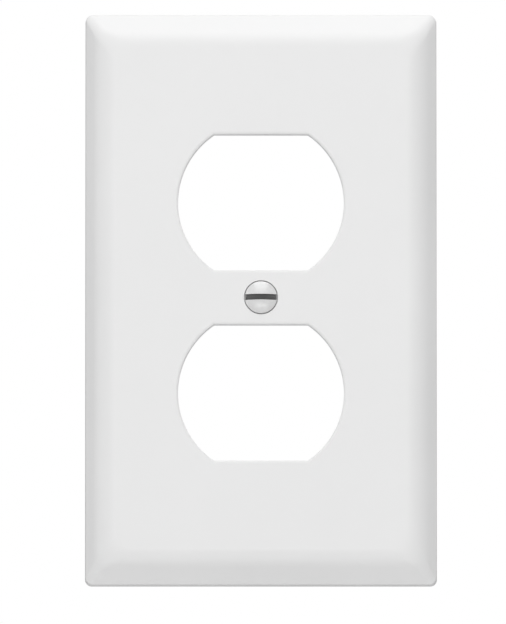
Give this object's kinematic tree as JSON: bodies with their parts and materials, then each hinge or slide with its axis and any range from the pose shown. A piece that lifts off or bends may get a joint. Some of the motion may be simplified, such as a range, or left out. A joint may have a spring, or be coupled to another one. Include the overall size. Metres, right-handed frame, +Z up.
{
  "type": "duplex wall plate",
  "caption": "One-gang duplex receptacle wall plate: bevelled white moulded cover with round-sided openings, held by an oval-head slotted screw in a captive washer.",
  "frame": {"origin": "on the screw's axis, in the plane of the plate's back rim, which lies on the wall", "axes": "+Z up along the plate's length, +Y into the wall along the screw, +X to the right seen from the front"},
  "size_m": [0.0714, 0.0144, 0.1168],
  "materials": {
    "plate_plastic": "smooth white thermoplastic, satin gloss",
    "screw_enamel": "steel screw with a glossy white enamelled head, bare metal in the slot and on the thread",
    "washer_fibre": "pressed grey vulcanised fibre, matt"
  },
  "bodies": {
    "plate": {"wall_plate": "plate_plastic"},
    "retainer": {"screw_retainer": "washer_fibre"},
    "screw": {"mounting_screw": "screw_enamel"}
  },
  "joints": [
    {"name": "screw_slide", "type": "slide", "parent": "plate", "child": "retainer", "axis": [0, -1, 0], "range_m": [0, 0.0029]},
    {"name": "screw_turn", "type": "hinge", "parent": "retainer", "child": "screw", "pos_m": [0, 0, 0], "axis": [0, -1, 0], "continuous": true}
  ]
}
